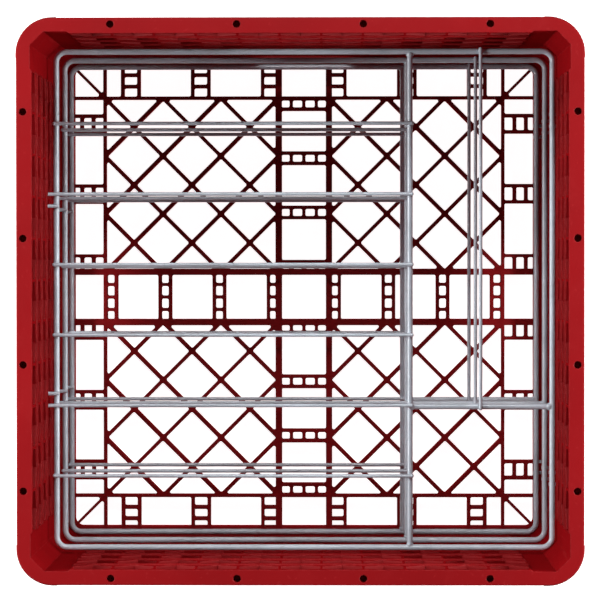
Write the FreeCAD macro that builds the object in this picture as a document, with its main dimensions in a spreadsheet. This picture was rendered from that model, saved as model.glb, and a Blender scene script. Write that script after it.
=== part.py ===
import FreeCAD, Part
import math
import os

import Sketcher

# A square transport and washing rack: an open-lattice base rack, six closed-wall
# extender frames stacked on it, and three levels of coated wire dividers.
# Millimetres.  +X and +Y run along the sides, +Z is up, and the origin is the
# centre of the rack's underside.

SIZES = {
    # outer walls
    "footprint": 501.65,          # over the corner pads
    "wall_half": 250.4,           # outer wall face from the centre
    "corner_radius": 32.0,
    "wall_inside_half": 248.0,
    "pad_radius": 32.4,
    "pad_reach": 215.0,           # corner pads start this far from the centre
    "pad_inset": 1.2,             # corner pads stop short of the edges
    "edge_round": 1.0,
    # inner walls
    "inner_half": 238.0,
    "inner_chamfer": 12.0,
    "inner_back_half": 241.6,
    "inner_back_chamfer": 14.1,
    "panel_half": 236.9,          # raised panel along each side, with the windows
    "panel_reach": 206.2,
    "panel_slope": 2.5,
    "flange_half": 236.5,
    "lip_half": 235.4,
    "lip_height": 3.0,
    "flange": 2.4,
    # windows in the inner walls
    "window_pitch": 37.19,
    "window_half": 17.4,
    "window_corner": 17.67,
    "window_side": 8.83,
    # stacking sockets and pegs
    "socket_line": 244.4,
    "socket_radius": 3.3,
    "socket_depth": 8.5,
    "boss_radius": 4.1,
    "peg_radius": 3.1,
    "peg_length": 7.5,
    # heights
    "base_height": 101.6,
    "extender_height": 41.275,
    "skirt_bottom": 6.0,          # underside of the base rack's outer wall
    "floor_top": 21.0,
    "window_centre": 20.64,       # below each frame's top
    # hand-holds
    "grip_half": 50.0,
    "grip_low": 51.0,
    "grip_high": 81.0,
    "grip_round": 12.0,
    "grip_block_half": 57.0,
    "grip_block_low": 45.0,
    "grip_block_high": 90.0,
    # floor lattice
    "floor_edge": 231.2,
    "floor_edge_radius": 8.0,
    "foot_outer": 236.0,
    "foot_outer_radius": 16.0,
    "floor_bottom": 9.0,
    "border_line": 200.0,
    "centre_line": 25.3,
    "border_bar": 2.9,
    "centre_bar": 6.3,
    "diamond_bar": 3.8,
    "ladder_bar": 3.3,
    "ladder_pitch": 70.3,
    "ladder_first": 33.3,
    "ladder_width": 16.3,
    "ladder_near_rung": 211.7,
    "ladder_far_rung": 223.2,
    "cross_pitch": 54.5,
    "cross_width": 10.4,
    "cross_rung": 12.6,
    "cell_round": 1.6,
    # wire dividers
    "thick_radius": 2.65,
    "thin_radius": 1.7,
    "ring_half": 231.6,
    "ring_bend": 9.6,
    "weld_sink": 0.2,
    "slot_pitch": 65.8,
    "trunk_line": 98.7,
    "crossing_line": 99.8,
    "divider_line": 164.5,
    "pair_half": 5.45,            # hooked wires straddle a rib between two windows
    "left_end": 241.8,
    "right_end": 239.7,
    "stub_reach": 2.6,            # hooked ends start this far inside the ring's line
    "ring_drop": 18.7,            # ring below the top of the frame that holds it
    # play of each level inside the walls
    "lower_shift_x": 0.0,
    "lower_shift_y": -2.4,
    "middle_shift_x": 1.9,
    "middle_shift_y": -2.0,
    "top_shift_x": 2.2,
    "top_shift_y": -0.2,
}

EXTENDERS = 6
SIDE_WINDOWS = 11
SOCKET_STEPS = (-4.5, -1.5, 1.5, 4.5)     # in window pitches along each side
LEFT_RIB_STEP = 2.5
RIGHT_RIB_STEP = 4.5
GRID_STEPS = {"lower": -1, "middle": 1, "top": 3}   # extender heights above the base rack
ROWS = 6

X = FreeCAD.Vector(1, 0, 0)
Y = FreeCAD.Vector(0, 1, 0)
Z = FreeCAD.Vector(0, 0, 1)

doc = FreeCAD.newDocument("transport_rack")
sheet = doc.addObject("Spreadsheet::Sheet", "params")
for row, (alias, number) in enumerate(SIZES.items(), start=1):
    sheet.set(f"A{row}", alias)
    sheet.set(f"B{row}", str(number))
    sheet.setAlias(f"B{row}", alias)
doc.recompute()


def value(alias):
    """A driving size, read back from the sheet."""
    return float(sheet.get(alias))


class Size:
    """A sum of driving sizes: its number now, and the expression that keeps it."""

    def __init__(self, number, text):
        self.number = number
        self.text = text

    def __add__(self, other):
        return Size(self.number + other.number, f"{self.text} + {other.text}")

    def __sub__(self, other):
        return Size(self.number - other.number, f"{self.text} - ({other.text})")

    def __neg__(self):
        return Size(-self.number, f"-1 * ({self.text})")

    def times(self, factor):
        return Size(self.number * factor, f"{factor} * ({self.text})")


def size(alias):
    return Size(value(alias), f"params.{alias}")


ZERO = Size(0.0, "0")


# ---------------------------------------------------------------- sketch helpers

def origin_plane(body, role):
    for feature in body.Origin.OriginFeatures:
        if feature.Role == role:
            return feature
    raise ValueError(role)


def new_sketch(body, name, role="XY_Plane", lift=None):
    sketch = body.newObject("Sketcher::SketchObject", name)
    sketch.AttachmentSupport = [(origin_plane(body, role), "")]
    sketch.MapMode = "FlatFace"
    if lift is not None:
        sketch.setExpression("AttachmentOffset.Base.z", lift.text)
        sketch.AttachmentOffset.Base = Z * lift.number
    return sketch


def constrain(sketch, kind, *where, size_of=None):
    """Adds a constraint, and binds it to the sheet when it has a size."""
    if size_of is None:
        return sketch.addConstraint(Sketcher.Constraint(kind, *where))
    index = sketch.addConstraint(Sketcher.Constraint(kind, *where, size_of.number))
    sketch.setExpression(f"Constraints[{index}]", size_of.text)
    return index


def pin_point(sketch, line, end, across, up):
    """Ties one end of a line to the sketch's origin in both directions."""
    if across is ZERO:
        constrain(sketch, "PointOnObject", line, end, -2)
    else:
        constrain(sketch, "DistanceX", -1, 1, line, end, size_of=across)
    if up is ZERO:
        constrain(sketch, "PointOnObject", line, end, -1)
    else:
        constrain(sketch, "DistanceY", -1, 1, line, end, size_of=up)


def polygon(sketch, corners):
    """A closed outline through corners given as pairs of Size."""
    spots = [FreeCAD.Vector(a.number, b.number, 0) for a, b in corners]
    lines = []
    for here, there in zip(spots, spots[1:] + spots[:1]):
        lines.append(sketch.addGeometry(Part.LineSegment(here, there)))
    for line, following in zip(lines, lines[1:] + lines[:1]):
        constrain(sketch, "Coincident", line, 2, following, 1)
    for line, (across, up) in zip(lines, corners):
        pin_point(sketch, line, 1, across, up)


def chamfered_square(sketch, half, chamfer):
    short = half - chamfer
    polygon(sketch, [
        (short, half), (-short, half), (-half, short), (-half, -short),
        (-short, -half), (short, -half), (half, -short), (half, short),
    ])


def rounded_square(sketch, half, radius):
    """Four sides joined by tangent arcs, centred on the sketch's origin."""
    flat = half.number - radius.number
    arcs = []
    sides = []
    for quarter in range(4):
        start = quarter * math.pi / 2
        turn = FreeCAD.Rotation(Z, math.degrees(start))
        centre = turn.multVec(FreeCAD.Vector(flat, flat, 0))
        circle = Part.Circle(centre, Z, radius.number)
        arcs.append(sketch.addGeometry(Part.ArcOfCircle(circle, start, start + math.pi / 2)))
        near = turn.multVec(FreeCAD.Vector(flat, half.number, 0))
        far = turn.multVec(FreeCAD.Vector(-flat, half.number, 0))
        sides.append(sketch.addGeometry(Part.LineSegment(near, far)))
    for quarter in range(4):
        constrain(sketch, "Tangent", arcs[quarter], 2, sides[quarter], 1)
        constrain(sketch, "Tangent", sides[quarter], 2, arcs[(quarter + 1) % 4], 1)
        constrain(sketch, "Horizontal" if quarter % 2 == 0 else "Vertical", sides[quarter])
    for arc in arcs[1:]:
        constrain(sketch, "Equal", arcs[0], arc)
    constrain(sketch, "Radius", arcs[0], size_of=radius)
    constrain(sketch, "Symmetric", arcs[0], 3, arcs[2], 3, -1, 1)
    constrain(sketch, "DistanceX", -1, 1, sides[3], 1, size_of=half)
    constrain(sketch, "DistanceY", -1, 1, sides[0], 1, size_of=half)


def circles(sketch, radius, centres):
    """Equal circles; their centres are pairs of Size."""
    first = None
    for across, up in centres:
        spot = FreeCAD.Vector(across.number, up.number, 0)
        index = sketch.addGeometry(Part.Circle(spot, Z, radius.number))
        pin_point(sketch, index, 3, across, up)
        if first is None:
            constrain(sketch, "Radius", index, size_of=radius)
            first = index
        else:
            constrain(sketch, "Equal", first, index)


def raise_pad(body, sketch, length, down=False):
    pad = body.newObject("PartDesign::Pad", sketch.Name + "_pad")
    pad.Profile = sketch
    pad.setExpression("Length", length.text)
    pad.Reversed = down
    body.Tip = pad
    return pad


def cut_pocket(body, sketch, length, up=True, both_ways=False):
    """A pocket that has to take material away; up means along the sketch's normal."""
    before = body.Shape.Volume
    pocket = body.newObject("PartDesign::Pocket", sketch.Name + "_cut")
    pocket.Profile = sketch
    pocket.setExpression("Length", length.text)
    pocket.Reversed = up
    if both_ways:
        pocket.Midplane = True
    body.Tip = pocket
    doc.recompute()
    if body.Shape.Volume >= before - 1.0:
        raise ValueError(f"{body.Label}: {pocket.Name} cuts nothing")
    return pocket


def four_sides(body, feature):
    """Repeats a feature made on the +Y side on the other three sides."""
    pattern = body.newObject("PartDesign::PolarPattern", feature.Name + "_sides")
    pattern.Originals = [feature]
    pattern.Axis = (origin_plane(body, "Z_Axis"), [""])
    pattern.Angle = 360
    pattern.Occurrences = 4
    body.Tip = pattern
    doc.recompute()
    return pattern


# ---------------------------------------------------------------- moulded frames

def socket_centres():
    line = size("socket_line")
    pitch = size("window_pitch")
    spots = []
    for step in SOCKET_STEPS:
        along = pitch.times(step)
        spots += [(along, line), (along, -line), (line, along), (-line, along)]
    return spots


def side_strip(body, name, half, low, tall):
    """A strip with slanted ends along each side, standing inward to half."""
    reach = size("panel_reach")
    back = size("inner_half") + size("edge_round")
    short = reach - size("panel_slope")
    sketch = new_sketch(body, name, lift=low)
    polygon(sketch, [(short, half), (reach, back), (-reach, back), (-short, half)])
    four_sides(body, raise_pad(body, sketch, tall))


def window_row(body, name, centre, steps):
    """Pointed six-sided windows through the inner walls of all four sides."""
    pitch = size("window_pitch")
    half = size("window_half")
    corner = size("window_corner")
    side = size("window_side")
    span = size("inner_back_half").times(2) + size("edge_round")
    for role in ("XZ_Plane", "YZ_Plane"):
        sketch = new_sketch(body, f"{name}_{role[:2]}", role)
        for step in steps:
            middle = pitch.times(step) if step else ZERO
            polygon(sketch, [
                (middle, centre + corner), (middle - half, centre + side),
                (middle - half, centre - side), (middle, centre - corner),
                (middle + half, centre - side), (middle + half, centre + side),
            ])
        cut_pocket(body, sketch, span, both_ways=True)


def outer_loop(shape, level):
    """Names of the edges of the outermost loop at one height."""
    reach = value("wall_half") - value("corner_radius") - 1.0
    names = []
    for index, edge in enumerate(shape.Edges, start=1):
        box = edge.BoundBox
        flat = abs(box.ZMin - level) < 0.01 and abs(box.ZMax - level) < 0.01
        far = max(abs(edge.CenterOfMass.x), abs(edge.CenterOfMass.y)) > reach
        if flat and far:
            names.append(f"Edge{index}")
    return names


def frame_body(label, low, high):
    """Outer wall, open channel below the top flange, inner wall and corner pads."""
    body = doc.addObject("PartDesign::Body", label)
    body.Label = label
    tall = high - low

    outline = new_sketch(body, f"{label}_outline", lift=low)
    rounded_square(outline, size("wall_half"), size("corner_radius"))
    block = raise_pad(body, outline, tall)
    doc.recompute()

    edges = body.newObject("PartDesign::Fillet", f"{label}_edges")
    edges.Base = (block, outer_loop(block.Shape, high.number) + outer_loop(block.Shape, low.number))
    edges.setExpression("Radius", size("edge_round").text)
    body.Tip = edges
    doc.recompute()

    channel = new_sketch(body, f"{label}_channel", lift=low)
    rounded_square(channel, size("wall_inside_half"), size("corner_radius") - size("flange"))
    chamfered_square(channel, size("inner_back_half"), size("inner_back_chamfer"))
    cut_pocket(body, channel, tall - size("flange"))

    pads = new_sketch(body, f"{label}_pads", lift=low + size("pad_inset"))
    corner_pads(pads)
    four_sides(body, raise_pad(body, pads, tall - size("pad_inset").times(2)))
    return body


def corner_pads(sketch):
    """One L-shaped pad round the corner at +X +Y."""
    outer = size("footprint").times(0.5)
    inner = size("wall_inside_half") + size("edge_round")
    reach = size("pad_reach")
    radius = size("pad_radius")
    flat = outer - radius
    square = flat.number
    corner = FreeCAD.Vector(square, square, 0)
    arc = sketch.addGeometry(Part.ArcOfCircle(Part.Circle(corner, Z, radius.number), 0, math.pi / 2))
    inner_radius = inner - flat
    circle = Part.Circle(corner, Z, inner_radius.number)
    inner_arc = sketch.addGeometry(Part.ArcOfCircle(circle, 0, math.pi / 2))
    ends = [
        (flat, outer), (reach, outer), (reach, inner), (flat, inner),
    ]
    spots = [FreeCAD.Vector(a.number, b.number, 0) for a, b in ends]
    top = [sketch.addGeometry(Part.LineSegment(a, b)) for a, b in zip(spots, spots[1:])]
    mirrored = [FreeCAD.Vector(spot.y, spot.x, 0) for spot in spots]
    side = [sketch.addGeometry(Part.LineSegment(a, b)) for a, b in zip(mirrored, mirrored[1:])]
    for run in (top, side):
        constrain(sketch, "Coincident", run[0], 2, run[1], 1)
        constrain(sketch, "Coincident", run[1], 2, run[2], 1)
    constrain(sketch, "Tangent", arc, 2, top[0], 1)
    constrain(sketch, "Tangent", arc, 1, side[0], 1)
    constrain(sketch, "Tangent", inner_arc, 2, top[2], 2)
    constrain(sketch, "Tangent", inner_arc, 1, side[2], 2)
    constrain(sketch, "Horizontal", top[0])
    constrain(sketch, "Vertical", side[0])
    constrain(sketch, "Radius", arc, size_of=radius)
    pin_point(sketch, top[1], 1, reach, outer)
    pin_point(sketch, top[1], 2, reach, inner)
    pin_point(sketch, side[1], 1, outer, reach)
    pin_point(sketch, side[1], 2, inner, reach)


def sockets(body, high, deep):
    """Tubular bosses between the walls, each with a blind socket in the rim."""
    posts = new_sketch(body, f"{body.Label}_posts", lift=high - deep)
    circles(posts, size("boss_radius"), socket_centres())
    raise_pad(body, posts, deep - size("edge_round"))
    doc.recompute()
    bores = new_sketch(body, f"{body.Label}_sockets", lift=high)
    circles(bores, size("socket_radius"), socket_centres())
    cut_pocket(body, bores, size("socket_depth"), up=False)


def make_extender():
    """The lowest extender frame; the others repeat it one height further up."""
    low = size("base_height")
    tall = size("extender_height")
    high = low + tall
    lip = size("lip_height")
    flange = size("flange")
    body = frame_body("extender_1", low, high)

    opening = new_sketch(body, "extender_opening", lift=low)
    chamfered_square(opening, size("inner_half"), size("inner_chamfer"))
    cut_pocket(body, opening, tall)

    side_strip(body, "extender_panel", size("panel_half"), low, tall)
    side_strip(body, "extender_lip", size("lip_half"), low, lip)
    side_strip(body, "extender_rim", size("flange_half"), high - flange, flange)
    sockets(body, high, tall)

    reach = (SIDE_WINDOWS - 1) // 2
    window_row(body, "extender_windows", high - size("window_centre"), range(-reach, reach + 1))

    pegs = new_sketch(body, "extender_pegs", lift=low)
    circles(pegs, size("peg_radius"), socket_centres())
    raise_pad(body, pegs, size("peg_length"), down=True)
    doc.recompute()
    return body


def repeat_extender(first, step):
    """The same moulding again, a number of extender heights above the first."""
    copy = doc.addObject("Part::Compound", f"extender_{step + 1}")
    copy.Label = f"extender_{step + 1}"
    copy.Links = [first]
    copy.setExpression("Placement.Base.z", size("extender_height").times(step).text)
    return copy


# ---------------------------------------------------------------- base rack

def slot_hole(sketch, half, low, high, radius):
    """A round-cornered oblong hole for a hand."""
    flat = half - radius
    bottom = low + radius
    top = high - radius
    corners = [
        (flat, top, 0), (-flat, top, 90), (-flat, bottom, 180), (flat, bottom, 270),
    ]
    arcs = []
    for across, up, start in corners:
        centre = FreeCAD.Vector(across.number, up.number, 0)
        circle = Part.Circle(centre, Z, radius.number)
        angle = math.radians(start)
        arcs.append(sketch.addGeometry(Part.ArcOfCircle(circle, angle, angle + math.pi / 2)))
    for index, arc in enumerate(arcs):
        following = arcs[(index + 1) % 4]
        here = sketch.getPoint(arc, 2)
        there = sketch.getPoint(following, 1)
        line = sketch.addGeometry(Part.LineSegment(here, there))
        constrain(sketch, "Tangent", arc, 2, line, 1)
        constrain(sketch, "Tangent", line, 2, following, 1)
    for arc, corner in zip(arcs, corners):
        pin_point(sketch, arc, 3, corner[0], corner[1])
    constrain(sketch, "Radius", arcs[0], size_of=radius)


def make_base_walls():
    low = size("skirt_bottom")
    high = size("base_height")
    floor = size("floor_top")
    lip = size("lip_height")
    flange = size("flange")
    pitch = size("extender_height")
    body = frame_body("base_walls", low, high)

    opening = new_sketch(body, "base_opening", lift=floor)
    chamfered_square(opening, size("inner_half"), size("inner_chamfer"))
    cut_pocket(body, opening, high - floor)

    side_strip(body, "base_panel", size("panel_half"), floor, high - floor)
    side_strip(body, "base_lip", size("lip_half"), high - pitch, lip)
    side_strip(body, "base_rim", size("flange_half"), high - flange, flange)
    sockets(body, high, pitch)

    reach = (SIDE_WINDOWS - 1) // 2
    steps = [step for step in range(-reach, reach + 1) if abs(step) > 1]
    upper = high - size("window_centre")
    window_row(body, "base_upper_windows", upper, steps)
    window_row(body, "base_lower_windows", upper - pitch, steps)

    block = new_sketch(body, "grip_block", lift=size("grip_block_low"))
    side = size("grip_block_half")
    back = size("wall_inside_half") + size("edge_round")
    front = size("panel_half")
    polygon(block, [(side, front), (side, back), (-side, back), (-side, front)])
    four_sides(body, raise_pad(body, block, size("grip_block_high") - size("grip_block_low")))

    for role in ("XZ_Plane", "YZ_Plane"):
        grip = new_sketch(body, f"grip_{role[:2]}", role)
        slot_hole(grip, size("grip_half"), size("grip_low"), size("grip_high"), size("grip_round"))
        cut_pocket(body, grip, size("footprint") + size("edge_round"), both_ways=True)

    well = new_sketch(body, "floor_well", lift=low)
    rounded_square(well, size("floor_edge"), size("floor_edge_radius"))
    cut_pocket(body, well, floor)

    foot = new_sketch(body, "foot", lift=low)
    rounded_square(foot, size("foot_outer"), size("foot_outer_radius"))
    rounded_square(foot, size("floor_edge"), size("floor_edge_radius"))
    raise_pad(body, foot, low, down=True)
    doc.recompute()
    return body


# ---------------------------------------------------------------- floor lattice

def shrink(points, margins):
    """Moves each side of an anticlockwise polygon inward by its own margin."""
    lines = []
    for index, here in enumerate(points):
        there = points[(index + 1) % len(points)]
        along = (there - here).normalize()
        inward = FreeCAD.Vector(-along.y, along.x, 0)
        lines.append((here + inward * margins[index], along))
    corners = []
    for index, (spot, along) in enumerate(lines):
        before, before_along = lines[index - 1]
        cross = before_along.x * along.y - before_along.y * along.x
        gap = spot - before
        reach = (gap.x * along.y - gap.y * along.x) / cross
        corners.append(before + before_along * reach)
    return corners


def rounded_wire(corners, radius):
    """A closed wire with an arc of the given radius at every corner."""
    starts = []
    ends = []
    middles = []
    for index, corner in enumerate(corners):
        back = (corners[index - 1] - corner).normalize()
        ahead = (corners[(index + 1) % len(corners)] - corner).normalize()
        half_angle = back.getAngle(ahead) / 2
        bisector = (back + ahead).normalize()
        trim = radius / math.tan(half_angle)
        starts.append(corner + back * trim)
        ends.append(corner + ahead * trim)
        middles.append(corner + bisector * (radius / math.sin(half_angle) - radius))
    edges = []
    for index, corner in enumerate(corners):
        edges.append(Part.Arc(starts[index], middles[index], ends[index]).toShape())
        following = starts[(index + 1) % len(corners)]
        edges.append(Part.LineSegment(ends[index], following).toShape())
    return Part.Wire(edges)


def box_cell(left, right, near, far, margins):
    """A rectangular cell between four bar centre-lines; margins run near, right, far, left."""
    points = [
        FreeCAD.Vector(left, near, 0), FreeCAD.Vector(right, near, 0),
        FreeCAD.Vector(right, far, 0), FreeCAD.Vector(left, far, 0),
    ]
    return shrink(points, margins)


def quadrant_cells():
    """Diamonds and half diamonds of one quadrant, between its border and centre lines."""
    low = value("centre_line")
    step = (value("border_line") - low) / 6
    diamond = value("diamond_bar") / 2
    edge = {0: value("centre_bar") / 2, 6: value("border_bar") / 2}
    cells = []
    for column in range(7):
        for line in range(7):
            if (column + line) % 2 == 0:
                continue
            centre = FreeCAD.Vector(low + column * step, low + line * step, 0)
            points = [centre - Y * step, centre + X * step, centre + Y * step, centre - X * step]
            if column == 0:
                cells.append(shrink([points[0], points[1], points[2]], [diamond, diamond, edge[0]]))
            elif column == 6:
                cells.append(shrink([points[0], points[2], points[3]], [edge[6], diamond, diamond]))
            elif line == 0:
                cells.append(shrink([points[1], points[2], points[3]], [diamond, diamond, edge[0]]))
            elif line == 6:
                cells.append(shrink([points[0], points[1], points[3]], [diamond, edge[6], diamond]))
            else:
                cells.append(shrink(points, [diamond] * 4))
    return cells


def border_cells():
    """Cells of one border strip, along +Y: open lengths between two-rung ladders."""
    thin = value("ladder_bar") / 2
    border = value("border_bar") / 2
    near = value("border_line")
    far = value("floor_edge")
    rungs = [near, value("ladder_near_rung"), value("ladder_far_rung"), far]
    bars = []
    ladders = []
    offsets = [value("ladder_first") + step * value("ladder_pitch") for step in range(3)]
    for centre in sorted(offsets + [-offset for offset in offsets]):
        left = centre - value("ladder_width") / 2
        right = centre + value("ladder_width") / 2
        bars += [left, right]
        ladders.append((left, right))
    cells = []
    for left, right in ladders:
        for index, (low, high) in enumerate(zip(rungs, rungs[1:])):
            low_margin = border if index == 0 else thin
            high_margin = 0.0 if index == 2 else thin
            cells.append(box_cell(left, right, low, high, [low_margin, thin, high_margin, thin]))
    ends = [-value("border_line")] + bars + [value("border_line")]
    for index in range(0, len(ends), 2):
        left = ends[index]
        right = ends[index + 1]
        outer = [border, thin, 0.0, thin]
        if index == 0:
            outer[3] = border
        if index == len(ends) - 2:
            outer[1] = border
        cells.append(box_cell(left, right, near, far, outer))
    return cells


def centre_cells():
    """Cells of one arm of the centre cross, along +Y: ladders with three rungs."""
    thin = value("ladder_bar") / 2
    thick = value("centre_bar") / 2
    side = value("centre_line")
    rungs = [-side, -value("cross_rung"), 0.0, value("cross_rung"), side]
    cells = []
    previous = None
    for step in range(4):
        low = side + step * value("cross_pitch")
        high = min(low + value("cross_width"), value("border_line"))
        low_margin = thick if step == 0 else thin
        high_margin = value("border_bar") / 2 if step == 3 else thin
        for index, (left, right) in enumerate(zip(rungs, rungs[1:])):
            left_margin = thick if index == 0 else thin
            right_margin = thick if index == 3 else thin
            margins = [low_margin, right_margin, high_margin, left_margin]
            cells.append(box_cell(left, right, low, high, margins))
        if previous is not None:
            cells.append(box_cell(-side, side, previous, low, [thin, thick, thin, thick]))
        previous = high
    return cells


def corner_cells():
    """Two triangles each side of the diagonal in the corner at +X +Y."""
    border = value("border_bar") / 2
    diagonal = value("border_bar") / 2
    low = value("border_line")
    far = value("floor_edge")
    inner = FreeCAD.Vector(low, low, 0)
    corner = FreeCAD.Vector(far, far, 0)
    right = [inner, FreeCAD.Vector(far, low, 0), corner]
    left = [inner, corner, FreeCAD.Vector(low, far, 0)]
    return [
        shrink(right, [border, 0.0, diagonal]),
        shrink(left, [diagonal, 0.0, border]),
    ]


def make_lattice():
    """The open floor, one plate of bars, read from the sheet's lattice sizes."""
    radius = value("cell_round")
    quarter = quadrant_cells() + border_cells() + centre_cells() + corner_cells()
    centre = value("centre_line")
    thick = value("centre_bar") / 2
    wires = [rounded_wire(box_cell(-centre, centre, -centre, centre, [thick] * 4), radius)]
    for turn in range(4):
        spin = FreeCAD.Rotation(Z, 90 * turn)
        for cell in quarter:
            wires.append(rounded_wire([spin.multVec(corner) for corner in cell], radius))
    edge = value("floor_edge") + value("edge_round")
    square = [
        FreeCAD.Vector(-edge, -edge, 0), FreeCAD.Vector(edge, -edge, 0),
        FreeCAD.Vector(edge, edge, 0), FreeCAD.Vector(-edge, edge, 0),
    ]
    outline = rounded_wire(square, value("floor_edge_radius"))
    face = Part.makeFace([outline] + wires, "Part::FaceMakerBullseye")
    face.translate(Z * value("floor_bottom"))
    plate = face.extrude(Z * (value("floor_top") - value("floor_bottom")))
    lattice = doc.addObject("Part::Feature", "floor_lattice")
    lattice.Shape = plate
    return lattice


def make_runner(name, across_x, offset):
    """A deep bar under one of the lattice's centre lines, down to the foot's level."""
    runner = doc.addObject("Part::Box", name)
    long_side = size("floor_edge").times(2) + size("edge_round")
    bar = size("centre_bar")
    lengths = (long_side, bar) if across_x else (bar, long_side)
    runner.setExpression("Length", lengths[0].text)
    runner.setExpression("Width", lengths[1].text)
    runner.setExpression("Height", size("floor_top").text)
    start_x = long_side.times(-0.5) if across_x else offset - bar.times(0.5)
    start_y = offset - bar.times(0.5) if across_x else long_side.times(-0.5)
    runner.setExpression("Placement.Base.x", start_x.text)
    runner.setExpression("Placement.Base.y", start_y.text)
    return runner


def make_base_rack():
    pieces = [make_base_walls(), make_lattice()]
    line = size("centre_line")
    for number, (across_x, offset) in enumerate(
            [(True, line), (True, -line), (False, line), (False, -line)], start=1):
        pieces.append(make_runner(f"runner_{number}", across_x, offset))
    rack = doc.addObject("Part::MultiFuse", "base_rack")
    rack.Label = "base_rack"
    rack.Shapes = pieces
    return rack


# ---------------------------------------------------------------- wire dividers

def rod(name, radius, start, along, length):
    """A straight wire from a point, along one of the frame's axes."""
    wire = doc.addObject("Part::Cylinder", name)
    wire.Label = name
    wire.setExpression("Radius", radius.text)
    wire.setExpression("Height", length.text)
    wire.Placement.Rotation = FreeCAD.Rotation(Z, along)
    for axis, coordinate in zip("xyz", start):
        wire.setExpression(f"Placement.Base.{axis}", coordinate.text)
    return wire


def moved(start, shift):
    """A point carried along by a level's play."""
    return (start[0] + shift[0], start[1] + shift[1], start[2])


def gather(name, pieces):
    """A node of several separate solids."""
    group = doc.addObject("Part::Compound", name)
    group.Label = name
    group.Links = pieces
    return group


def make_ring(name, height, shift):
    """Square perimeter wire, as two nodes: four straight runs, and the four bends between them."""
    half = size("ring_half")
    bend = size("ring_bend")
    flat = half - bend
    thick = size("thick_radius")
    ends = [
        ((-flat, half, height), X), ((-flat, -half, height), X),
        ((half, -flat, height), Y), ((-half, -flat, height), Y),
    ]
    runs = []
    for number, (start, along) in enumerate(ends, start=1):
        runs.append(rod(f"{name}_run_{number}", thick, moved(start, shift), along, flat.times(2)))
    corners = [(flat, flat), (-flat, flat), (-flat, -flat), (flat, -flat)]
    bends = []
    for number, (across, up) in enumerate(corners):
        torus = doc.addObject("Part::Torus", f"{name}_bend_{number + 1}")
        torus.Label = f"{name}_bend_{number + 1}"
        torus.setExpression("Radius1", bend.text)
        torus.setExpression("Radius2", thick.text)
        torus.Angle3 = 90
        torus.Placement.Rotation = FreeCAD.Rotation(Z, 90 * number)
        for axis, coordinate in zip("xyz", moved((across, up, height), shift)):
            torus.setExpression(f"Placement.Base.{axis}", coordinate.text)
        bends.append(torus)
    return [gather(f"{name}_runs", runs), gather(f"{name}_bends", bends)]


def make_stubs(name, above, below, shift):
    """Short welded ends that hook the grid into the windows of the walls."""
    thin = size("thin_radius")
    pitch = size("window_pitch")
    pair = size("pair_half")
    left = size("left_end")
    inner = size("ring_half") - size("stub_reach")
    left_length = left - inner
    right_length = size("right_end") - inner
    spots = []
    for sign in (1, -1):
        along = pitch.times(sign * LEFT_RIB_STEP) - pair.times(sign)
        spots.append(((-left, along, above), left_length))
        for side in (1, -1):
            along = pitch.times(sign * RIGHT_RIB_STEP) + pair.times(side)
            spots.append(((inner, along, below), right_length))
    pieces = []
    for number, (start, length) in enumerate(spots, start=1):
        pieces.append(rod(f"{name}_{number}", thin, moved(start, shift), X, length))
    return gather(name, pieces)


def make_grid(level, step):
    """One level of dividers; step counts extenders up to the frame that holds it."""
    top = size("base_height") + size("extender_height").times(step)
    height = top - size("ring_drop")
    shift = (size(f"{level}_shift_x"), size(f"{level}_shift_y"))
    thick = size("thick_radius")
    thin = size("thin_radius")
    sink = size("weld_sink")
    above = height + thick + thin - sink
    below = height - (thick + thin - sink)
    half = size("ring_half")
    butt = half - thick + sink.times(3)
    trunk = size("trunk_line")
    crossing = size("crossing_line")
    crossing_start = trunk + thick - sink.times(3)
    wires = [
        ("trunk_wire", thick, (trunk, -butt, height), Y, butt.times(2)),
        ("crossing_wire", thick, (crossing_start, -crossing, height), X, butt - crossing_start),
        ("divider_wire", thin, (size("divider_line"), -crossing - thin, above), Y,
         half + crossing + thin.times(2)),
    ]
    for number in range(ROWS):
        offset = size("slot_pitch").times((ROWS - 1) / 2 - number)
        hooked = number in (1, ROWS - 2)
        left = size("left_end") if hooked else half + thin
        wires.append((f"row_wire_{number + 1}", thin, (-left, offset, above), X, left + trunk + thin))
    nodes = make_ring(f"{level}_ring", height, shift)
    for name, radius, start, along, length in wires:
        nodes.append(rod(f"{level}_{name}", radius, moved(start, shift), along, length))
    nodes.append(make_stubs(f"{level}_hook_stubs", above, below, shift))
    return nodes


# ---------------------------------------------------------------- assembly

def assemble():
    nodes = [make_base_rack()]
    first = make_extender()
    nodes.append(first)
    for step in range(1, EXTENDERS):
        nodes.append(repeat_extender(first, step))
    for level, step in GRID_STEPS.items():
        nodes += make_grid(level, step)
    return nodes


def check(nodes):
    for item in doc.Objects:
        if "Invalid" in item.State or "Error" in item.State:
            raise ValueError(f"{item.Label}: {item.State}")
    for node in nodes:
        if node.Shape.isNull() or not node.Shape.isValid():
            raise ValueError(f"{node.Label}: bad shape")


nodes = assemble()
doc.recompute()
check(nodes)
os.makedirs("parts", exist_ok=True)
for node in nodes:
    node.Shape.exportStep(os.path.join("parts", f"{node.Label}.step"))
    box = node.Shape.BoundBox
    print(f"{node.Label}: {len(node.Shape.Solids)} solid, "
          f"{box.XLength:.1f} x {box.YLength:.1f} x {box.ZLength:.1f} from z {box.ZMin:.1f}")
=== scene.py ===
"""Looks of the plate rack: moulded red plastic, grey dip-coated wire, welds and coated wire ends.

Everything is in metres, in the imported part's frame: the origin is the centre of the underside.
"""
import math
import random

import bmesh
import bpy
from mathutils import Matrix, Vector, noise


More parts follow.
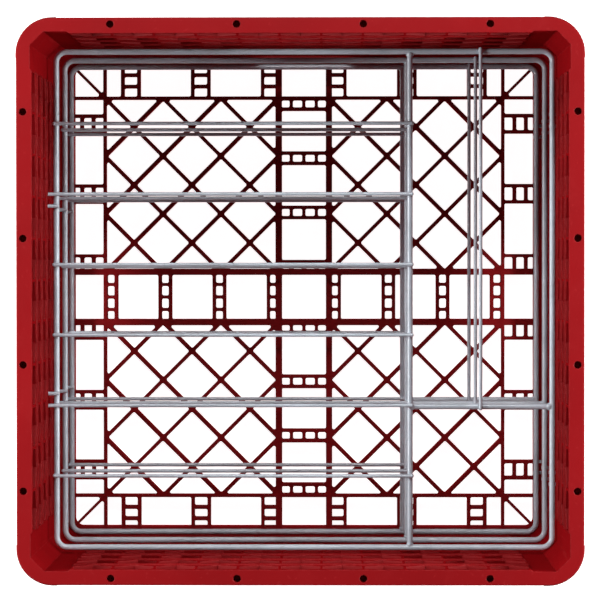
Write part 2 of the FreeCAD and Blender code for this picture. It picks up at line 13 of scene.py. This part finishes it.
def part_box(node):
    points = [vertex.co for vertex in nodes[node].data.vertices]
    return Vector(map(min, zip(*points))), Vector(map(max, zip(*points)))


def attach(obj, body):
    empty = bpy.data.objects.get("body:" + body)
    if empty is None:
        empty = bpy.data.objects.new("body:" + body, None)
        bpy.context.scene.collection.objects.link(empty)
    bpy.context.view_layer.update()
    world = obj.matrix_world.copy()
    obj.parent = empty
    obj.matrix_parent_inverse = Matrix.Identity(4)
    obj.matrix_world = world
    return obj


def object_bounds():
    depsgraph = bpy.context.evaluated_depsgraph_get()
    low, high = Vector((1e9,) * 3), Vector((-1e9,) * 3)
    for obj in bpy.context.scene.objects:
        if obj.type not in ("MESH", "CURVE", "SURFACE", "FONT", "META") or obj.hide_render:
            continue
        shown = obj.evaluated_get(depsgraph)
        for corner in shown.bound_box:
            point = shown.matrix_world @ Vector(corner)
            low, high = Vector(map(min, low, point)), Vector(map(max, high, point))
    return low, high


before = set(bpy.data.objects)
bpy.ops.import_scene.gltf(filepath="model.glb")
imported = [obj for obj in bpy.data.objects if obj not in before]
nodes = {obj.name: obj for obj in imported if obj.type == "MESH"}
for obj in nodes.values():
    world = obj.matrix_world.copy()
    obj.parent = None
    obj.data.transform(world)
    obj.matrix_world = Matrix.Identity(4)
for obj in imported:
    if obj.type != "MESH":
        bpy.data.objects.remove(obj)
cad_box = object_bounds()

MM = 0.001
LEVELS = ("lower", "middle", "top")
ROWS = range(1, 7)
EXTENDERS = range(1, 7)

# linear colours, and shades as factors of them
WHITE = (1.0, 1.0, 1.0, 1.0)
RED = (0.287, 0.0048, 0.0072)
GREY = (0.64, 0.73, 0.82)
STAIN = (0.13, 0.12, 0.11)
DEEP_RED = 0.86            # of the colour, where the pigment is densest
DEEP_GREY = 0.78
PALE_GREY = 1.18
BASE_PAINTED_SHADE = 0.97           # the base rack, darker than the extenders: painted shade on its deep lattice floor
EXTENDER_TINT = 0.035      # either way, from one extender to the next

# noises: scale per metre, detail, roughness and, where there is one, distortion
FLOW_CLOUDS = (9.0, 3.0, 0.5, 0.4)
FILM_PATCHES = (34.0, 5.0, 0.65, 1.2)
WEAR_AND_HIGHLIGHT_BREAKUP = (210.0, 3.0, 0.6)
SCRATCHES = (1.0, 2.0, 0.5)
SCRATCH_STRETCH = (240.0, 240.0, 9.0)
MOULD_GRAIN = (1500.0, 2.0, 0.6)
MOULD_RIPPLE = (26.0, 2.0, 0.4)
COAT_CLOUDS = (22.0, 4.0, 0.6, 0.6)
COAT_SPECKS = (420.0, 3.0, 0.7)
COAT_STAINS = (60.0, 5.0, 0.7, 1.0)
COAT_SHEEN = (90.0, 3.0, 0.6)
COAT_SAG = (150.0, 2.0, 0.5)
COAT_PEEL = (900.0, 2.0, 0.5)
COAT_ROUGHNESS = 0.18

MIX_COLOUR_INPUTS = (6, 7)              # a Mix node's sockets for colours
MIX_COLOUR_OUTPUT = 2

# edges, welds and wire ends
EDGE_RADIUS = 1.2 * MM
# how strongly sharp edges turn paler: partly wear, partly painted highlight
EDGE_WEAR_AND_HIGHLIGHT = 0.8
CROSSING_WELD = (2.3, 2.3, 1.5)         # mm, where a thin wire lies on another
BUTT_WELD = (3.3, 3.3, 3.0)             # mm, where a thick wire ends against another
WELD_SPREAD = (0.9, 1.12)               # of those sizes, smallest and largest
WELD_WOBBLE = 0.16
CAP_RADIUS = (1.75, 1.95)               # mm, smallest and largest
CAP_WOBBLE = 0.08
BARE_LEFT_ENDS = (1, 3, 4, 6)           # rows whose left end isn't a hook in a window
LUMP_WAVES = 1.7
LUMP_SEEDS = (0, 50)

# lights and floor, in metres and watts
SIDE_REACH = 1.02
SIDE_HEIGHT = 0.75
SIDE_BOX = (0.6, 0.45)
SIDE_POWER = 14.0
BACK_REACH = 1.1
BACK_HEIGHT = 1.5
BACK_BOX = (0.9, 0.5)
BACK_POWER = 13.5
CEILING_STRENGTH = 0.06
HORIZON_STRENGTH = 0.8
HORIZON_FADE = (0.06, 0.16)             # sines of the heights where the backdrop fades
FLOOR_GLOW = 0.97
FLOOR_SIZE = 12.0
FLOOR_WHITE = 0.9
FLOOR_ROUGHNESS = 0.9
FLOOR_GAP = 0.2 * MM

CAMERA_RISE = 2.3288       # above the rim
CAMERA_OFFSET = (0.0269, 0.0336)        # along X and Y, from the rack's middle
CAMERA_TILT = (-0.790, 0.663, -0.025)   # degrees about X, Y and Z from straight down
FOCAL_LENGTH = 158.7       # mm
SENSOR_WIDTH = 36.0        # mm
FAR_CLIP = 50.0

random.seed(7)


def scaled(values, factor):
    return tuple(value * factor for value in values)


# ---------------------------------------------------------------- node helpers

def new_material(name):
    material = bpy.data.materials.new(name)
    material.use_nodes = True
    tree = material.node_tree
    tree.nodes.clear()
    return material, tree


def add(tree, kind, **settings):
    node = tree.nodes.new(kind)
    for key, setting in settings.items():
        setattr(node, key, setting)
    return node


def link(tree, source, target):
    tree.links.new(source, target)


def texture_space(tree, stretch=(1.0, 1.0, 1.0)):
    """The object's own coordinates, in metres, optionally stretched."""
    coordinates = add(tree, "ShaderNodeTexCoord")
    mapping = add(tree, "ShaderNodeMapping")
    mapping.inputs["Scale"].default_value = stretch
    link(tree, coordinates.outputs["Object"], mapping.inputs["Vector"])
    return mapping.outputs["Vector"]


def noise_field(tree, space, scale, detail, roughness, distortion=0.0):
    field = add(tree, "ShaderNodeTexNoise")
    field.inputs["Scale"].default_value = scale
    field.inputs["Detail"].default_value = detail
    field.inputs["Roughness"].default_value = roughness
    field.inputs["Distortion"].default_value = distortion
    link(tree, space, field.inputs["Vector"])
    return field.outputs["Fac"]


def ramp(tree, source, low, high, low_value=0.0, high_value=1.0):
    """Maps a range of a field to another range, clamped."""
    node = add(tree, "ShaderNodeMapRange", clamp=True)
    node.inputs["From Min"].default_value = low
    node.inputs["From Max"].default_value = high
    node.inputs["To Min"].default_value = low_value
    node.inputs["To Max"].default_value = high_value
    link(tree, source, node.inputs["Value"])
    return node.outputs["Result"]


def math_node(tree, operation, first, second):
    node = add(tree, "ShaderNodeMath", operation=operation)
    for socket, item in zip(node.inputs, (first, second)):
        if isinstance(item, (int, float)):
            socket.default_value = item
        else:
            link(tree, item, socket)
    return node.outputs[0]


def mix_colours(tree, factor, first, second):
    node = add(tree, "ShaderNodeMix", data_type="RGBA")
    link(tree, factor, node.inputs["Factor"])
    for number, item in zip(MIX_COLOUR_INPUTS, (first, second)):
        socket = node.inputs[number]
        if isinstance(item, tuple):
            socket.default_value = (*item, 1.0)
        else:
            link(tree, item, socket)
    return node.outputs[MIX_COLOUR_OUTPUT]


def bump(tree, height, strength, distance, normal=None):
    node = add(tree, "ShaderNodeBump")
    node.inputs["Strength"].default_value = strength
    node.inputs["Distance"].default_value = distance
    link(tree, height, node.inputs["Height"])
    if normal is not None:
        link(tree, normal, node.inputs["Normal"])
    return node.outputs["Normal"]


def soft_edges(tree, radius):
    """Normals rounded over a small radius, and how close a point is to a sharp edge."""
    bevel = add(tree, "ShaderNodeBevel", samples=4)
    bevel.inputs["Radius"].default_value = radius
    geometry = add(tree, "ShaderNodeNewGeometry")
    facing = add(tree, "ShaderNodeVectorMath", operation="DOT_PRODUCT")
    link(tree, bevel.outputs["Normal"], facing.inputs[0])
    link(tree, geometry.outputs["Normal"], facing.inputs[1])
    closeness = ramp(tree, facing.outputs["Value"], 0.995, 0.85)
    return bevel.outputs["Normal"], closeness


def grazing(tree, facing_value, edge_value):
    """A value that goes from facing_value, seen square on, to edge_value at a glancing angle."""
    weight = add(tree, "ShaderNodeLayerWeight")
    weight.inputs["Blend"].default_value = 0.5
    return ramp(tree, weight.outputs["Facing"], 0.25, 0.8, facing_value, edge_value)


def finish_shader(tree, colour, roughness, normal, specular=0.5, coat=0.0):
    """A Principled shader with the given fields; uniform values go on its own sockets."""
    shader = add(tree, "ShaderNodeBsdfPrincipled")
    output = add(tree, "ShaderNodeOutputMaterial")
    link(tree, colour, shader.inputs["Base Color"])
    link(tree, roughness, shader.inputs["Roughness"])
    link(tree, normal, shader.inputs["Normal"])
    if isinstance(specular, float):
        shader.inputs["Specular IOR Level"].default_value = specular
    else:
        link(tree, specular, shader.inputs["Specular IOR Level"])
    shader.inputs["Coat Weight"].default_value = coat
    shader.inputs["Coat Roughness"].default_value = COAT_ROUGHNESS
    link(tree, shader.outputs["BSDF"], output.inputs["Surface"])


# ---------------------------------------------------------------- materials

def faded(colour, gain, white):
    """A paler version of a red: more red, and some white in the other two channels."""
    return (colour[0] * gain, colour[1] + white, colour[2] + white)


def red_plastic(name, colour):
    """Satin moulded polypropylene: fine grain, faint flow clouds, scuffs, and paler edges that are
    partly wear and partly a painted highlight.
    """
    material, tree = new_material(name)
    space = texture_space(tree)
    normal, edge = soft_edges(tree, EDGE_RADIUS)
    clouds = ramp(tree, noise_field(tree, space, *FLOW_CLOUDS), 0.3, 0.7)
    body = mix_colours(tree, clouds, scaled(colour, DEEP_RED), colour)
    patches = noise_field(tree, space, *FILM_PATCHES)
    film = ramp(tree, patches, 0.56, 0.78, 0.0, 0.22)
    body = mix_colours(tree, film, body, faded(colour, 1.2, 0.008))
    # paler, brighter red along sharp edges: partly wear, partly a painted highlight where rounded
    # edges catch the light
    breakup = ramp(tree, noise_field(tree, space, *WEAR_AND_HIGHLIGHT_BREAKUP), 0.42, 0.66)
    worn_and_highlit_edge = math_node(tree, "MULTIPLY", edge, math_node(tree, "MULTIPLY", breakup, EDGE_WEAR_AND_HIGHLIGHT))
    body = mix_colours(tree, worn_and_highlit_edge, body, faded(colour, 1.5, 0.03))
    lines = noise_field(tree, texture_space(tree, SCRATCH_STRETCH), *SCRATCHES)
    scratches = ramp(tree, lines, 0.66, 0.72, 0.0, 0.3)
    body = mix_colours(tree, scratches, body, faded(colour, 1.25, 0.012))
    sheen = ramp(tree, patches, 0.3, 0.8, 0.44, 0.56)
    rough = math_node(tree, "ADD", sheen, math_node(tree, "MULTIPLY", scratches, 0.25))
    grain = noise_field(tree, space, *MOULD_GRAIN)
    ripple = noise_field(tree, space, *MOULD_RIPPLE)
    normal = bump(tree, grain, 0.10, 0.05 * MM, normal)
    normal = bump(tree, ripple, 0.25, 0.35 * MM, normal)
    finish_shader(tree, body, rough, normal, specular=grazing(tree, 0.12, 0.0))
    return material


def coated_wire(name, colour):
    """Grey nylon dip coating: satin, slightly uneven, with rubbed and stained patches."""
    material, tree = new_material(name)
    space = texture_space(tree)
    broad = ramp(tree, noise_field(tree, space, *COAT_CLOUDS), 0.35, 0.68)
    body = mix_colours(tree, broad, scaled(colour, DEEP_GREY), colour)
    specks = ramp(tree, noise_field(tree, space, *COAT_SPECKS), 0.62, 0.74, 0.0, 0.25)
    body = mix_colours(tree, specks, body, scaled(colour, PALE_GREY))
    stains = ramp(tree, noise_field(tree, space, *COAT_STAINS), 0.62, 0.8, 0.0, 0.35)
    body = mix_colours(tree, stains, body, STAIN)
    rough = ramp(tree, noise_field(tree, space, *COAT_SHEEN), 0.3, 0.75, 0.24, 0.42)
    sag = noise_field(tree, space, *COAT_SAG)
    peel = noise_field(tree, space, *COAT_PEEL)
    normal = bump(tree, sag, 0.25, 0.25 * MM)
    normal = bump(tree, peel, 0.08, 0.06 * MM, normal)
    finish_shader(tree, body, rough, normal, coat=1.0)
    return material


def floor_material():
    """Plain white table that keeps its brightness under the rack."""
    material, tree = new_material("studio_floor")
    shader = add(tree, "ShaderNodeBsdfPrincipled")
    shader.inputs["Base Color"].default_value = (FLOOR_WHITE, FLOOR_WHITE, FLOOR_WHITE, 1.0)
    shader.inputs["Roughness"].default_value = FLOOR_ROUGHNESS
    shader.inputs["Emission Color"].default_value = WHITE
    shader.inputs["Emission Strength"].default_value = FLOOR_GLOW
    output = add(tree, "ShaderNodeOutputMaterial")
    link(tree, shader.outputs["BSDF"], output.inputs["Surface"])
    return material


def dress(node, material):
    """Puts one material in every slot of a CAD node or piece."""
    slots = node.material_slots
    if not slots:
        node.data.materials.append(material)
        return
    for slot in slots:
        slot.material = material


def dress_frame():
    """The mouldings, each extender from a slightly different batch of the same red; the base rack a
    little darker, as painted shade on its deep lattice floor.
    """
    # the base rack's red is darkened a little: painted shade for the shadowed lattice floor
    dress(nodes["base_rack"], red_plastic("base_red_plastic", scaled(RED, BASE_PAINTED_SHADE)))
    for number in EXTENDERS:
        tint = 1.0 + EXTENDER_TINT * random.uniform(-1, 1)
        red = red_plastic(f"extender_{number}_red_plastic", scaled(RED, tint))
        dress(nodes[f"extender_{number}"], red)


def dress_wires(material):
    """Every node of a level is wire, and starts with the level's name."""
    for name, node in nodes.items():
        if name.startswith(LEVELS):
            dress(node, material)


# ---------------------------------------------------------------- wire details

def wire_centre(name):
    low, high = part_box(name)
    return (Vector(low) + Vector(high)) / 2


def wire_end(name, axis, side):
    """The centre of a straight wire's end: side is -1 or +1 along the axis."""
    low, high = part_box(name)
    spot = wire_centre(name)
    spot[axis] = high[axis] if side > 0 else low[axis]
    return spot


def lump(mesh, centre, radii, wobble):
    """A small uneven blob, as weld metal under a dip coating makes."""
    shift = Vector((random.uniform(*LUMP_SEEDS), 0.0, 0.0))
    made = bmesh.ops.create_icosphere(mesh, subdivisions=3, radius=1.0)
    for vertex in made["verts"]:
        direction = vertex.co.normalized()
        swell = 1.0 + wobble * noise.noise(direction * LUMP_WAVES + shift)
        vertex.co = centre + Vector(direction[k] * radii[k] * swell for k in range(3))


def mesh_piece(name, mesh, material):
    """Turns a bmesh into a smooth piece of the rack, made of coated wire."""
    data = bpy.data.meshes.new(name)
    mesh.to_mesh(data)
    mesh.free()
    for polygon in data.polygons:
        polygon.use_smooth = True
    piece = bpy.data.objects.new(name, data)
    bpy.context.scene.collection.objects.link(piece)
    data.materials.append(material)
    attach(piece, "root")


def weld_spots(level):
    """Where a level's wires cross or meet: (spot, size in mm along X, Y and Z)."""
    ring_low, ring_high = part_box(f"{level}_ring_runs")
    thick = (ring_high[2] - ring_low[2]) / 2
    ring_z = (ring_high[2] + ring_low[2]) / 2
    left = ring_low[0] + thick
    right = ring_high[0] - thick
    back = ring_high[1] - thick
    front = ring_low[1] + thick
    trunk = wire_centre(f"{level}_trunk_wire")
    crossing = wire_centre(f"{level}_crossing_wire")
    divider = wire_centre(f"{level}_divider_wire")
    contact = ring_z + thick
    spots = []
    for number in ROWS:
        row = wire_centre(f"{level}_row_wire_{number}")
        for x in (left, trunk.x):
            spots.append((Vector((x, row.y, contact)), CROSSING_WELD))
    for y in (back, crossing.y):
        spots.append((Vector((divider.x, y, contact)), CROSSING_WELD))
    for y in (back - thick, front + thick):
        spots.append((Vector((trunk.x, y, ring_z)), BUTT_WELD))
    for x in (trunk.x + thick, right - thick):
        spots.append((Vector((x, crossing.y, ring_z)), BUTT_WELD))
    return spots


def make_welds(level, material):
    mesh = bmesh.new()
    for spot, radii in weld_spots(level):
        scale = random.uniform(*WELD_SPREAD)
        lump(mesh, spot, scaled(radii, scale * MM), WELD_WOBBLE)
    mesh_piece(f"{level}_weld_beads", mesh, material)


def make_wire_ends(level, material):
    """Rounded, slightly swollen coating on every free wire end."""
    mesh = bmesh.new()
    ends = [wire_end(f"{level}_row_wire_{number}", 0, 1) for number in ROWS]
    for number in BARE_LEFT_ENDS:
        ends.append(wire_end(f"{level}_row_wire_{number}", 0, -1))
    ends += [wire_end(f"{level}_divider_wire", 1, side) for side in (-1, 1)]
    for spot in ends:
        size = random.uniform(*CAP_RADIUS) * MM
        lump(mesh, spot, (size, size, size), CAP_WOBBLE)
    mesh_piece(f"{level}_wire_end_caps", mesh, material)


# ---------------------------------------------------------------- stage

def make_floor():
    height = cad_box[0][2] - FLOOR_GAP
    bpy.ops.mesh.primitive_plane_add(size=FLOOR_SIZE, location=(0, 0, height))
    floor = bpy.context.object
    floor.name = "studio_floor"
    floor.data.materials.append(floor_material())


def soft_light(name, spot, aim, box, power):
    """A rectangular area light at a spot, turned towards aim."""
    data = bpy.data.lights.new(name, "AREA")
    data.shape = "RECTANGLE"
    data.size, data.size_y = box
    data.energy = power
    light = bpy.data.objects.new(name, data)
    bpy.context.scene.collection.objects.link(light)
    light.location = spot
    direction = Vector(aim) - Vector(spot)
    light.rotation_euler = direction.to_track_quat("-Z", "Y").to_euler()


def make_lights(rim_height):
    """Low soft boxes to the left and right, and a higher one behind."""
    middle = (0.0, 0.0, rim_height * 0.5)
    for name, side in (("left_softbox", -1), ("right_softbox", 1)):
        soft_light(name, (side * SIDE_REACH, 0.0, SIDE_HEIGHT), middle, SIDE_BOX, SIDE_POWER)
    soft_light("back_softbox", (0.0, BACK_REACH, BACK_HEIGHT), middle, BACK_BOX, BACK_POWER)


def make_backdrop():
    """A pale backdrop all round the horizon that fades to a dim ceiling."""
    world = bpy.data.worlds.new("studio")
    world.use_nodes = True
    tree = world.node_tree
    coordinates = add(tree, "ShaderNodeTexCoord")
    direction = add(tree, "ShaderNodeSeparateXYZ")
    link(tree, coordinates.outputs["Generated"], direction.inputs["Vector"])
    strength = ramp(tree, direction.outputs["Z"], *HORIZON_FADE, HORIZON_STRENGTH, CEILING_STRENGTH)
    background = tree.nodes["Background"]
    background.inputs["Color"].default_value = WHITE
    link(tree, strength, background.inputs["Strength"])
    bpy.context.scene.world = world


def make_camera(rim_height):
    data = bpy.data.cameras.new("camera")
    data.sensor_width = SENSOR_WIDTH
    data.lens = FOCAL_LENGTH
    data.clip_end = FAR_CLIP
    camera = bpy.data.objects.new("camera", data)
    bpy.context.scene.collection.objects.link(camera)
    turn = Matrix.Identity(4)
    for angle, axis in zip(CAMERA_TILT, "XYZ"):
        turn = turn @ Matrix.Rotation(math.radians(angle), 4, axis)
    place = Matrix.Translation((*CAMERA_OFFSET, rim_height + CAMERA_RISE))
    camera.matrix_world = place @ turn
    bpy.context.scene.camera = camera


# ---------------------------------------------------------------- assembly

rim = cad_box[1][2]
make_camera(rim)
make_lights(rim)
make_backdrop()
make_floor()
bpy.context.scene.view_settings.view_transform = "Standard"

dress_frame()
wire_grey = coated_wire("grey_wire_coating", GREY)
dress_wires(wire_grey)
for level_name in LEVELS:
    make_welds(level_name, wire_grey)
    make_wire_ends(level_name, wire_grey)
